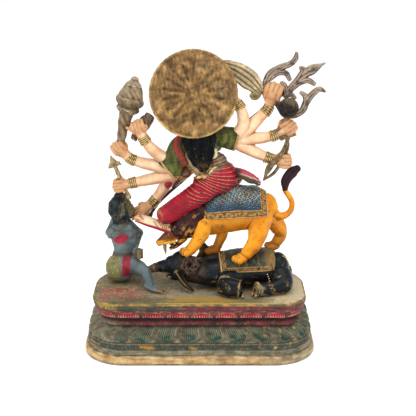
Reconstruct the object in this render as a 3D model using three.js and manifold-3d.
// Eight-armed goddess on her lion, over a fallen elephant and beside a kneeling demon,
// on an oblong double-lotus plinth. Millimetres, +Z up, origin at the centre of the underside.
// The back of the group faces -Y.
import * as THREE from 'three';
import { mergeVertices } from 'three/addons/utils/BufferGeometryUtils.js';
import Module from 'manifold-3d';

const wasm = await Module();
wasm.setup();

// Driving dimensions
const plinthLength = 386;
const plinthDepth = 196;
const plinthHeight = 105;
const baseNearRadius = 72;
const baseFarRadius = 42;
const platformLength = 352;
const platformDepth = 182;
const platformNearRadius = 46;
const platformFarRadius = 84;
const petalPitch = 39;
const firstPetal = -15.5;
const groupHeight = 398;
const haloDiameter = 142;
const haloThickness = 2.4;
const haloRimWidth = 5;
const haloFlutes = 18;
const tridentRodDiameter = 5.4;
const arrowShaftDiameter = 5;
const maceGripDiameter = 14;
const bladeHiltDiameter = 8;
const budStemDiameter = 5;
const bowStaveDiameter = 7;
const clearance = 0.3;

// The figures are drawn 398 mm tall above the plinth's top, and every point is a share of that
const drawnHeight = 398;
const share = groupHeight / drawnHeight;
const at = (x, y, z) => new THREE.Vector3(x * share, y * share, z * share + plinthHeight);

const paint = (color, roughness, metalness) => new THREE.MeshStandardMaterial({ color, roughness, metalness });

// Closed bodies and their joins

function toSolid(geometry) {
  const bare = geometry.index ? geometry.toNonIndexed() : geometry.clone();
  bare.deleteAttribute('normal');
  bare.deleteAttribute('uv');
  const merged = mergeVertices(bare, 1e-4);
  const mesh = new wasm.Mesh({
    numProp: 3,
    vertProperties: new Float32Array(merged.attributes.position.array),
    triVerts: new Uint32Array(merged.index.array),
  });
  return new wasm.Manifold(mesh);
}

const join = (solids) => solids.reduce((sum, next) => sum.add(next));
const cut = (body, tools) => tools.reduce((left, tool) => left.subtract(tool), body);

// The largest connected body of a cut piece, with the slivers along its seams merged
const seamTolerance = 0.12;

function whole(body) {
  const parts = body.decompose();
  const best = parts.reduce((most, part) => (part.volume() > most.volume() ? part : most));
  return best.simplify(seamTolerance);
}

function toMesh(name, body, material) {
  const { vertProperties, triVerts } = body.getMesh();
  const geometry = new THREE.BufferGeometry();
  geometry.setAttribute('position', new THREE.BufferAttribute(new Float32Array(vertProperties), 3));
  geometry.setIndex(new THREE.BufferAttribute(new Uint32Array(triVerts), 1));
  geometry.computeVertexNormals();
  const mesh = new THREE.Mesh(geometry, material);
  mesh.name = name;
  return mesh;
}

// A limb is a capped cylinder whose rings are set along a smooth curve. Each stop on the curve has a
// width, along the side direction, and a height across it.
const across = new THREE.Vector3(0, 1, 0);

function limb(points, sizes, { sides = 6, steps = 2 * (points.length - 1), side = across, grow = 0 } = {}) {
  const curve = new THREE.CatmullRomCurve3(points, false, 'centripetal');
  const stops = sizes.map((size) => (Array.isArray(size) ? size : [size, size]));
  const tube = new THREE.CylinderGeometry(1, 1, 1, sides, steps);
  const place = tube.attributes.position;
  const spot = new THREE.Vector3();
  for (let i = 0; i < place.count; i += 1) {
    const t = Math.min(1, Math.max(0, 0.5 - place.getY(i)));
    const along = curve.getTangent(t);
    const wide = side.clone().addScaledVector(along, -side.dot(along)).normalize();
    const high = along.clone().cross(wide);
    const reach = t * (stops.length - 1);
    const stop = Math.min(stops.length - 2, Math.floor(reach));
    const part = THREE.MathUtils.smoothstep(reach - stop, 0, 1);
    const width = THREE.MathUtils.lerp(stops[stop][0], stops[stop + 1][0], part) * share + grow;
    const height = THREE.MathUtils.lerp(stops[stop][1], stops[stop + 1][1], part) * share + grow;
    curve.getPoint(t, spot);
    spot.addScaledVector(wide, place.getX(i) * width).addScaledVector(high, place.getZ(i) * height);
    place.setXYZ(i, spot.x, spot.y, spot.z);
  }
  return outward(toSolid(tube));
}

// Turns a body whose rings run the other way round
function outward(body) {
  if (body.volume() > 0) return body;
  const { vertProperties, triVerts } = body.getMesh();
  return new wasm.Manifold(new wasm.Mesh({
    numProp: 3,
    vertProperties: new Float32Array(vertProperties),
    triVerts: new Uint32Array(triVerts).reverse(),
  }));
}

// An egg is a sphere of its own three half-sizes, turned about each axis in degrees
function egg(centre, [a, b, c], { turn = [0, 0, 0], wide = 8, high = 5, grow = 0 } = {}) {
  const ball = new THREE.SphereGeometry(1, wide, high);
  ball.rotateX(Math.PI / 2);
  ball.scale(a * share + grow, b * share + grow, c * share + grow);
  const [rx, ry, rz] = turn.map(THREE.MathUtils.degToRad);
  ball.applyMatrix4(new THREE.Matrix4().makeRotationFromEuler(new THREE.Euler(rx, ry, rz)));
  ball.translate(centre.x, centre.y, centre.z);
  return toSolid(ball);
}

function block(low, high) {
  const size = high.clone().sub(low);
  const box = new THREE.BoxGeometry(size.x, size.y, size.z);
  const middle = low.clone().add(high).multiplyScalar(0.5);
  box.translate(middle.x, middle.y, middle.z);
  return toSolid(box);
}

// Everything below the plinth's top, which the figures stand on
const ground = (gap) => block(
  new THREE.Vector3(-plinthLength, -plinthDepth, 0),
  new THREE.Vector3(plinthLength, plinthDepth, plinthHeight + gap),
);

// Plinth: a base and a platform, each an outline carried up through a profile of insets, with petals that
// swell and sink along it. An outline starts on the near side, at a petal's middle.

const samplesPerPetal = 2;

function outline(length, depth, near, far) {
  const halfLength = length / 2;
  const halfDepth = depth / 2;
  const shape = new THREE.Path();
  shape.moveTo(firstPetal, -halfDepth);
  shape.lineTo(halfLength - near, -halfDepth);
  shape.absarc(halfLength - near, near - halfDepth, near, -Math.PI / 2, 0);
  shape.lineTo(halfLength, halfDepth - far);
  shape.absarc(halfLength - far, halfDepth - far, far, 0, Math.PI / 2);
  shape.lineTo(far - halfLength, halfDepth);
  shape.absarc(far - halfLength, halfDepth - far, far, Math.PI / 2, Math.PI);
  shape.lineTo(-halfLength, near - halfDepth);
  shape.absarc(near - halfLength, near - halfDepth, near, Math.PI, 1.5 * Math.PI);
  shape.lineTo(firstPetal, -halfDepth);
  return shape;
}

const baseOutline = outline(plinthLength, plinthDepth, baseNearRadius, baseFarRadius);
const platformOutline = outline(platformLength, platformDepth, platformNearRadius, platformFarRadius);

// Each ring: height in mm, inset, how far petals stand out, and its share of the platform's outline
const baseRings = [
  [0, 2, 0, 0],
  [3, 0, 0, 0],
  [12.6, 0, 0, 0],
  [14.7, 3, 0, 0],
  [31.5, 4, 0, 0],
  [36.8, 6, 5, 0],
  [48, 8, 3, 0.2],
  [61, 12, 0, 1],
];
const platformRings = [
  [58, 14, 0, 1],
  [65, 10, 0, 1],
  [69, 10, 0, 1],
  [72, 13, 0, 1],
  [80, 8, 2.5, 1],
  [92, 2.5, 3, 1],
  [96, 0, 0, 1],
  [105, 0.5, 0, 1],
];
const drawnPlinthHeight = 105;

function tier(rings, petals, shift) {
  const count = petals * samplesPerPetal;
  const wall = new THREE.CylinderGeometry(1, 1, 1, count, rings.length - 1);
  const place = wall.attributes.position;
  const ringCount = (count + 1) * rings.length;
  const setSpot = (i, step, ring) => {
    const [height, inset, swell, blend] = rings[ring];
    const k = step % count;
    const along = (k / count + shift / petals) % 1;
    const spot = baseOutline.getPointAt(along).lerp(platformOutline.getPointAt(along), blend);
    const way = baseOutline.getTangentAt(along).lerp(platformOutline.getTangentAt(along), blend).normalize();
    const out = swell * Math.cos(2 * Math.PI * (k % samplesPerPetal) / samplesPerPetal) - inset;
    place.setXYZ(i, spot.x + way.y * out, spot.y - way.x * out, height / drawnPlinthHeight * plinthHeight);
  };
  for (let i = 0; i < ringCount; i += 1) {
    setSpot(i, i % (count + 1), rings.length - 1 - Math.floor(i / (count + 1)));
  }
  for (let i = ringCount; i < place.count; i += 1) {
    const half = (place.count - ringCount) / 2;
    const ring = i < ringCount + half ? rings.length - 1 : 0;
    const local = (i - ringCount) % half;
    if (local < count) place.setXYZ(i, 0, 0, rings[ring][0] / drawnPlinthHeight * plinthHeight);
    else setSpot(i, local - count, ring);
  }
  return outward(toSolid(wall));
}

function plinthSolid() {
  const basePetals = Math.floor(baseOutline.getLength() / petalPitch);
  const platformPetals = Math.floor(platformOutline.getLength() / petalPitch);
  return join([tier(baseRings, basePetals, 0), tier(platformRings, platformPetals, 0.5)]).simplify(seamTolerance);
}

// Elephant, lying with its head at -X

function elephantSolid(grow = 0) {
  const trunkRun = [at(-40, -8, 34), at(-58, -5, 31), at(-74, 0, 30), at(-88, 2, 25)];
  const parts = [
    limb([at(-22, -4, 24), at(20, -4, 27), at(68, -2, 31), at(108, 0, 31), at(140, -2, 21)],
      [[18, 18], [33, 26], [36, 30], [37, 30.5], [21, 19]], { sides: 9, steps: 5, grow }),
    egg(at(-32, -8, 36), [19, 20, 24], { turn: [0, 20, 0], grow }),
    limb(trunkRun, [12, 8, 5.5, 4], { steps: 4, grow }),
    egg(at(-16, -26, 46), [14, 4.5, 15], { turn: [-12, 0, 0], grow }),
    limb([at(-2, 14, 34), at(8, 17, 54), at(0, 17, 66), at(-14, 15, 64)],
      [[3, 9], [3.5, 9], [3.5, 7], [3, 4]], { steps: 3, grow }),
    limb([at(-38, -26, 32), at(-25, -36, 16), at(-11, -41, 4.5)], [5, 4.5, 2.5], { sides: 5, steps: 2, grow }),
    limb([at(-38, 16, 32), at(-27, 30, 16), at(-16, 36, 4.5)], [5, 4.5, 2.5], { sides: 5, steps: 2, grow }),
    limb([at(62, -24, 26), at(40, -43, 18), at(50, -54, 14), at(65, -57, 12)], [18, 18, 16, 12],
      { steps: 4, grow }),
    limb([at(134, -22, 24), at(137, -38, 15), at(118, -50, 12), at(99, -54, 11)], [20, 17, 13, 13], { steps: 4, grow }),
    limb([at(62, 22, 26), at(40, 42, 17), at(50, 52, 13), at(65, 54, 12)], [18, 17, 14, 12], { steps: 4, grow }),
    limb([at(134, 20, 24), at(137, 36, 15), at(118, 47, 12), at(99, 50, 11)], [20, 16, 13, 12], { steps: 4, grow }),
    limb([at(140, -4, 38), at(150, -6, 24), at(152, -14, 8)], [4, 3.5, 4], { sides: 5, steps: 2, grow }),
    blanketSolid(grow),
  ];
  return join(parts);
}

// Cloth over the elephant's back: a thicker stretch of the body, kept above its flank
function blanketSolid(grow) {
  const cloth = limb([at(34, -4, 28), at(68, -2, 31), at(108, 0, 31), at(121, 0, 28)],
    [[36.5, 29.5], [38, 32], [39, 32.5], [36, 29]], { sides: 9, steps: 3, grow });
  return cloth.intersect(block(at(20, -60, 34), at(140, 60, 90)));
}

// Lion, striding to -X on the elephant's back

function lionSolid(grow = 0) {
  const paw = (x, y, z) => egg(at(x, y, z), [13, 10, 8.5], { wide: 7, high: 4, grow });
  const parts = [
    limb([at(-6, 0, 110), at(20, 0, 117), at(56, 0, 125), at(92, 0, 133), at(114, 0, 140)],
      [[22, 23], [24, 28], [25, 30], [27, 33], [18, 21]], { sides: 9, steps: 5, grow }),
    limb([at(16, 0, 124), at(-6, 0, 117), at(-28, 0, 102), at(-44, 0, 92)],
      [[26, 27], [26, 26], [22, 22], [14, 13]], { sides: 8, steps: 3, grow }),
    limb([at(-36, 0, 92), at(-52, 0, 86), at(-68, 0, 75)], [[13, 11], [10, 9], [7, 5.5]], { sides: 7, steps: 3, grow }),
    limb([at(-26, 0, 84), at(-38, 0, 70), at(-48, 0, 64)], [[10, 7], [6, 4], [4, 2.5]], { steps: 2, grow }),
    limb([at(-58, -5, 78), at(-58, -6, 68), at(-56, -6, 56)], [3.5, 3, 1], { sides: 4, steps: 1, grow }),
    limb([at(-58, 5, 78), at(-58, 6, 68), at(-56, 6, 56)], [3.5, 3, 1], { sides: 4, steps: 1, grow }),
    limb([at(8, -12, 116), at(5, -22, 100), at(-4, -26, 85), at(-14, -27, 72)], [17, 13, 10.5, 9.5],
      { steps: 4, grow }),
    paw(-18, -28, 70),
    limb([at(24, 12, 112), at(38, 16, 88), at(32, 16, 68), at(28, 16, 58)], [16, 10, 8, 7.5], { steps: 4, grow }),
    paw(22, 16, 56),
    limb([at(101, -9, 124), at(97, -21, 102), at(91, -29, 84), at(78, -32, 67)], [21, 17, 13.5, 11],
      { sides: 7, steps: 5, grow }),
    paw(68, -34, 59),
    limb([at(112, 10, 122), at(132, 17, 97), at(137, 20, 82), at(131, 20, 70)], [20, 14, 11, 10],
      { steps: 4, grow }),
    paw(123, 20, 63),
    limb([at(112, 0, 138), at(134, 0, 121), at(149, 0, 128), at(153, 0, 144), at(141, 0, 166), at(142, 0, 182),
      at(152, 0, 196), at(161, 0, 203)], [8, 6.5, 5, 4.5, 4.5, 7.5, 8, 4], { sides: 5, steps: 12, grow }),
    saddleSolid(grow),
  ];
  return join(parts);
}

// Saddle cloth: a thicker stretch of the lion's body, with a straight hem on each flank
function saddleSolid(grow) {
  const cloth = limb([at(2, 0, 114), at(20, 0, 117), at(40, 0, 121), at(64, 0, 126), at(92, 0, 132), at(113, 0, 134)],
    [[26, 28], [27.5, 32], [28.5, 41], [30, 50.5], [31, 41.5], [28, 30]], { sides: 9, steps: 5, grow });
  const half = new THREE.BoxGeometry(140 * share, 90 * share, 60 * share);
  half.rotateY(THREE.MathUtils.degToRad(-4));
  const middle = at(56, 0, 155);
  half.translate(middle.x, middle.y, middle.z);
  return cloth.intersect(toSolid(half));
}

// Demon, kneeling at -X with his back to -Y

function demonSolid(grow = 0) {
  const parts = [
    egg(at(-133, 18, 130), [19, 19, 23], { grow }),
    limb([at(-131, 18, 110), at(-129, 17, 96)], [9, 10], { steps: 1, grow }),
    limb([at(-128, 16, 92), at(-127, 14, 76), at(-129, 12, 56), at(-131, 12, 46)],
      [[12, 22], [14, 22], [13, 16], [14, 17]], { sides: 7, steps: 3, grow }),
    limb([at(-144, 16, 94), at(-127, 16, 96), at(-108, 18, 90)], [8, 9, 8], { steps: 2, grow }),
    egg(at(-134, 14, 26), [26, 24, 25], { turn: [0, -20, 0], grow }),
    limb([at(-147, 16, 94), at(-153, 26, 84), at(-150, 42, 90), at(-144, 44, 108)], [8, 7, 6, 6], { sides: 4, steps: 3, grow }),
    limb([at(-109, 20, 90), at(-103, 35, 80), at(-110, 50, 82), at(-124, 48, 100)], [8, 7.5, 6, 6], { sides: 4, steps: 3, grow }),
    limb([at(-118, 6, 34), at(-102, -2, 30), at(-92, -10, 26)], [17, 13, 10], { steps: 2, grow }),
    limb([at(-92, -8, 28), at(-86, -18, 16), at(-82, -26, 8)], [10, 8, 7], { steps: 2, grow }),
    limb([at(-86, -24, 7), at(-74, -34, 5), at(-64, -40, 3.5)], [[9, 6], [9, 5], [8, 3]], { steps: 2, grow }),
    limb([at(-136, 26, 24), at(-126, 52, 18), at(-112, 62, 12)], [17, 13, 10], { steps: 2, grow }),
    limb([at(-112, 60, 14), at(-132, 50, 8), at(-152, 36, 7)], [10, 8, 6], { steps: 2, grow }),
    limb([at(-128, 2, 50), at(-112, -4, 52), at(-104, -6, 51)], [[8, 5], [6, 5], [5, 5]], { sides: 4, steps: 1, grow }),
  ];
  return join(parts);
}

// Goddess, seated sideways on the lion with her back to -Y

// Each arm runs shoulder to wrist, then on through the fist to its knuckles. Its stops give the forearm,
// the bangles, the wrist and the closed hand.
const armRuns = {
  leftUpper: [[-46, -3, 203], [-62, -8, 222], [-78, -12, 240], [-88, -14, 254], [-96, -15, 270], [-98, -15, 287]],
  leftMiddle: [[-46, 0, 199], [-70, -2, 208], [-92, -4, 213], [-110, -4, 219], [-127, -5, 234], [-134, -6, 251]],
  leftLower: [[-44, 4, 194], [-68, 6, 186], [-92, 8, 180], [-110, 8, 176], [-127, 9, 172], [-145, 10, 173]],
  leftFront: [[-32, 14, 206], [-44, 18, 188], [-62, 23, 160], [-77, 26, 138], [-92, 26, 126], [-108, 25, 115]],
  rightUpper: [[60, 2, 256], [71, 0, 274], [70, 0, 292], [64, 2, 307], [52, 5, 319], [40, 8, 330]],
  rightSecond: [[64, 4, 254], [80, 4, 268], [95, 7, 283], [110, 10, 298], [119, 13, 320], [122, 14, 344]],
  rightThird: [[62, 4, 250], [84, 4, 252], [104, 2, 254], [122, 0, 258], [139, 0, 268], [152, 0, 283]],
  rightLower: [[58, 6, 246], [78, 4, 236], [96, 2, 227], [113, 2, 220], [133, 1, 216], [151, 1, 219]],
};
const armSizes = [11.5, 11, 10.5, 9.5, 8.5, 9.4, 8.8, [10, 12], [11, 14], [6.5, 9]];

const arm = (run) => limb(run.map((spot) => at(...spot)), armSizes, { sides: 5, steps: armSizes.length - 1 });

// The dress over the hanging leg: its radius falls toward the hem, and every other stop is a fold
const legFoldCount = 9;
const legFolds = Array.from({ length: legFoldCount }, (_, i) => {
  const down = i / (legFoldCount - 1);
  const fold = i % 2 === 0 ? 0.9 : -0.9;
  return [19 - 4 * down + fold, 20 - 5 * down + fold];
});

function goddessSolid() {
  const dress = [
    egg(at(31, 2, 188), [33, 27, 29], { wide: 9, high: 5 }),
    egg(at(12, -4, 175), [24, 20, 20], { wide: 7, high: 4 }),
    egg(at(28, 0, 214), [18, 17, 16], { wide: 6, high: 4 }),
    limb([at(36, -4, 190), at(4, -7, 166), at(-30, -8, 142), at(-57, -7, 124)], legFolds,
      { sides: 8, steps: legFolds.length - 1 }),
    limb([at(34, 10, 186), at(48, 34, 178), at(57, 47, 172)], [20, 17, 13], { steps: 3 }),
    limb([at(57, 47, 172), at(60, 24, 182), at(62, 2, 194)], [13, 12, 9], { steps: 2 }),
  ];
  const body = [
    limb([at(18, 2, 198), at(8, 2, 212), at(3, 2, 238), at(6, 2, 256), at(8, 3, 268)],
      [[22, 28], [15, 21], [18, 30], [14, 30], [9, 12]], { sides: 8, steps: 5 }),
    egg(at(-8, 18, 236), [12, 11, 12], { wide: 6, high: 4 }),
    egg(at(26, 18, 238), [12, 11, 12], { wide: 6, high: 4 }),
    limb([at(-18, 2, 254), at(-42, 0, 232), at(-45, 1, 200)], [14, 14.5, 15], { sides: 7, steps: 3 }),
    limb([at(22, 2, 256), at(46, 2, 253), at(64, 3, 250)], [[13, 14], [14, 18], [16, 20]], { sides: 7, steps: 2 }),
    limb([at(6, 5, 262), at(3, 9, 280)], [9, 9], { steps: 1 }),
  ];
  const head = [
    egg(at(0, 13, 297), [16, 19, 21], { wide: 8, high: 6 }),
    limb([at(0, 8, 306), at(-2, 6, 322), at(-4, 4, 340), at(-6, 2, 352)], [17, 15, 9, 3], { sides: 7, steps: 3 }),
    limb([at(0, -4, 304), at(0, -14, 280), at(0, -19, 258), at(4, -19, 232), at(9, -16, 206)],
      [[14, 15], [8, 22], [7, 29], [6, 22], [4, 6]], { sides: 7, steps: 5 }),
  ];
  const feet = [
    limb([at(-54, -5, 126), at(-55, -4, 112), at(-53, -3, 103)], [9, 8, 8], { steps: 2 }),
    limb([at(-48, -3, 98), at(-62, -2, 104), at(-86, -1, 112), at(-106, 0, 118)],
      [[8, 7], [8.5, 8.5], [9.5, 7.5], [8, 5.5]], { steps: 3 }),
    limb([at(60, 2, 196), at(72, -12, 196), at(86, -16, 190), at(99, -16, 184)],
      [[8, 8], [9, 8], [8, 8.5], [5, 5]], { steps: 3 }),
  ];
  const arms = Object.values(armRuns).map(arm);
  arms.push(egg(at(121, 13, 325), [15, 12, 18], { wide: 6, high: 4 }));
  return join([...dress, ...body, ...head, ...feet, ...arms]).simplify(11 * seamTolerance);
}

// Halo: a dished disc with flutes on its back, tilted forward so that it faces up and back

const haloCentre = at(-9, -10, 328);
const haloTilt = THREE.MathUtils.degToRad(15);

function placeHalo(disc) {
  disc.rotateX(-haloTilt);
  disc.translate(haloCentre.x, haloCentre.y, haloCentre.z);
  return outward(toSolid(disc));
}

function haloSolid() {
  const radius = haloDiameter / 2;
  const thick = haloThickness / 2;
  const inner = radius - haloRimWidth;
  const profile = [
    new THREE.Vector2(0, -thick - 3.5),
    new THREE.Vector2(radius * 0.3, -thick - 3.5),
    new THREE.Vector2(radius * 0.62, -thick - 2.4),
    new THREE.Vector2(inner, -thick),
    new THREE.Vector2(radius, -thick - 1),
    new THREE.Vector2(radius, thick),
    new THREE.Vector2(0, thick),
  ];
  const disc = new THREE.LatheGeometry(profile, 2 * haloFlutes);
  const place = disc.attributes.position;
  for (let i = 0; i < place.count; i += 1) {
    const [x, y, z] = [place.getX(i), place.getY(i), place.getZ(i)];
    const turn = Math.round(Math.atan2(x, z) / (Math.PI / haloFlutes));
    const carved = y < -thick - 2 && Math.hypot(x, z) > radius * 0.25;
    place.setY(i, carved && turn % 2 !== 0 ? y + 1.8 : y);
  }
  return placeHalo(disc);
}

// The room that the halo takes up, for cutting what it rests against
function haloRoom(gap) {
  const half = haloThickness / 2 + gap;
  const disc = new THREE.CylinderGeometry(haloDiameter / 2 + gap, haloDiameter / 2 + gap, 2 * half + 3.5, 24);
  disc.translate(0, -1.75, 0);
  return placeHalo(disc);
}

// What the hands hold. Each is given grown by the clearance to cut its fist.

const rodRun = [at(-86, 40, 108), at(-67, 36, 136), at(-12, 28, 189), at(34, 26, 236), at(82, 22, 279),
  at(141, 16, 327), at(166, 15, 346)];

function tridentSolid(grow = 0) {
  const rod = tridentRodDiameter / 2 / share;
  const leaf = (points, widths, steps) => limb(points.map(([x, z]) => at(x, 15, z)),
    widths.map((w) => [w * 0.7, w]), { sides: 4, steps, grow });
  return join([
    limb(rodRun, rodRun.map(() => rod), { steps: 6, grow }),
    egg(rodRun[0].clone(), [5.5, 5.5, 5.5], { wide: 6, high: 4, grow }),
    egg(at(-23, 22, 195), [9.5, 9, 10.5], { wide: 7, high: 5, grow }),
    limb([at(-25, 23, 191), at(-35, 28, 176), at(-44, 32, 162)], [7.5, 4.6, 2.9], { steps: 2, grow }),
    leaf([[130, 306], [113, 318], [108, 335], [122, 361], [139, 368], [151, 376], [156, 391]],
      [5, 5, 5.5, 5.5, 5, 4.5, 1], 8),
    leaf([[128, 306], [136, 294], [152, 287], [166, 297], [174, 311], [182, 325], [192, 330], [205, 324]],
      [5, 5, 5.5, 5.5, 5.5, 5, 4.5, 1], 9),
    leaf([[125, 358], [137, 359], [146, 343]], [4, 4.5, 1], 3),
    leaf([[172, 308], [168, 318], [161, 326]], [4, 4, 1], 2),
    leaf([[146, 330], [160, 346], [161, 366]], [4, 5, 2], 3),
    leaf([[148, 330], [165, 343], [180, 343], [186, 335]], [4, 5, 4.5, 2], 4),
    leaf([[140, 322], [137, 334], [130, 341]], [4, 4, 1.5], 2),
    leaf([[138, 320], [148, 322], [156, 315]], [4, 4, 1.5], 2),
    leaf([[154, 336], [167, 348], [180, 357], [203, 374]], [4, 5, 8.5, 0.8], 4),
  ]);
}

function maceSolid(grow = 0) {
  const grip = maceGripDiameter / 2 / share;
  const run = [at(-127, -6, 229), at(-127, -5, 240), at(-126, -4, 253), at(-118, -4, 291), at(-114, -4, 304),
    at(-110, -4, 319), at(-105, -4, 340), at(-102, -4, 354)];
  return limb(run, [grip, grip, grip, grip + 4, 18, 22.4, 12, 1.5], { sides: 8, steps: 12, grow });
}

function arrowSolid(grow = 0) {
  const shaft = arrowShaftDiameter / 2 / share;
  const tip = at(-146, 10, 224);
  const barb = at(-139, 10, 203);
  const tail = at(-116, 10, 148);
  return join([
    limb([barb, tail], [shaft, shaft], { steps: 1, grow }),
    limb([barb, tip], [[4, 11], [0.8, 1]], { sides: 4, steps: 1, grow }),
    limb([barb.clone().lerp(tail, 0.8), tail], [[3, 5], [4, 6]], { steps: 1, grow }),
  ]);
}

function conchSolid(grow = 0) {
  const run = [at(-79, -2, 291), at(-86, -3, 281), at(-94, -6, 270), at(-101, -8, 261), at(-106, -9, 254)];
  return limb(run, [4, 10.5, 9, 6, 4.5], { sides: 8, steps: 6, grow });
}

function bladeSolid(grow = 0) {
  const hilt = bladeHiltDiameter / 2 / share;
  return join([
    limb([at(28, 14, 368), at(45, 13, 366), at(65, 12, 357), at(79, 12, 347), at(92, 12, 335), at(99, 12, 327)],
      [[2, 6], [3, 12], [3.5, 15.5], [3.5, 16], [4, 12], [4, 6]], { steps: 6, grow }),
    limb([at(94, 12, 332), at(124, 14, 313)], [hilt, hilt], { steps: 1, grow }),
    egg(at(90, 11, 321), [10, 5, 7], { wide: 6, high: 4, grow }),
  ]);
}

function budSolid(grow = 0) {
  const stem = budStemDiameter / 2 / share;
  return join([
    egg(at(143, -6, 304), [17.5, 15, 17.5], { wide: 8, high: 6, grow }),
    limb([at(143, -6, 298), at(134, -6, 278), at(117, -6, 257)], [stem, stem, stem], { steps: 2, grow }),
  ]);
}

function bowSolid(grow = 0) {
  const stave = bowStaveDiameter / 2 / share;
  return join([
    limb([at(105, -8, 185), at(115, -8, 208), at(132, -8, 227), at(140, -8, 244), at(145, -8, 259)],
      [stave * 0.4, stave * 1.4, stave, stave, stave * 0.8], { sides: 5, steps: 6, grow }),
    limb([at(105, -8, 185), at(122, -3, 196), at(134, 0, 214), at(144, 0, 238), at(142, -5, 256)],
      [stave * 0.4, stave * 0.8, stave * 0.7, stave * 0.7, stave * 0.8], { sides: 5, steps: 5, grow }),
    limb([at(132, -8, 254), at(155, -6, 261)], [stave * 0.8, stave * 0.8], { sides: 4, steps: 1, grow }),
  ]);
}

// Assembly: each piece is cut by what it rests against, with the clearance between them

const elephant = whole(cut(elephantSolid(), [ground(clearance)]));
const lion = whole(cut(lionSolid(), [elephantSolid(clearance)]));
const demon = whole(cut(demonSolid(), [ground(clearance), elephantSolid(clearance)]));
const halo = whole(haloSolid());
const trident = whole(tridentSolid());
const blade = whole(cut(bladeSolid(), [tridentSolid(clearance), haloRoom(clearance)]));
const mace = whole(maceSolid());
const arrow = whole(arrowSolid());
const conch = whole(conchSolid());
const bud = whole(cut(budSolid(), [tridentSolid(clearance)]));
const bow = whole(bowSolid());
const goddess = whole(cut(goddessSolid(), [
  lionSolid(clearance), demonSolid(clearance), haloRoom(clearance), tridentSolid(clearance),
  bladeSolid(clearance), maceSolid(clearance), arrowSolid(clearance), conchSolid(clearance),
  budSolid(clearance), bowSolid(clearance),
]));

const durga = new THREE.Group();
durga.add(
  toMesh('plinth', plinthSolid(), paint(0x4c5145, 0.6, 0.2)),
  toMesh('elephant', elephant, paint(0x15181b, 0.45, 0.1)),
  toMesh('lion', lion, paint(0xe0951f, 0.45, 0.1)),
  toMesh('demon', demon, paint(0x5c7078, 0.5, 0.1)),
  toMesh('goddess', goddess, paint(0xdcae86, 0.45, 0.05)),
  toMesh('halo', halo, paint(0x8d6e3c, 0.4, 0.8)),
  toMesh('trident', trident, paint(0x6d6057, 0.5, 0.5)),
  toMesh('fan_blade', blade, paint(0xb59c6c, 0.5, 0.4)),
  toMesh('mace', mace, paint(0x77694f, 0.55, 0.4)),
  toMesh('arrow', arrow, paint(0x8a7d5d, 0.5, 0.5)),
  toMesh('conch', conch, paint(0x5c4c36, 0.5, 0.5)),
  toMesh('bow', bow, paint(0x665441, 0.5, 0.4)),
  toMesh('lotus_bud', bud, paint(0x2a2826, 0.5, 0.3)),
);

export default durga;
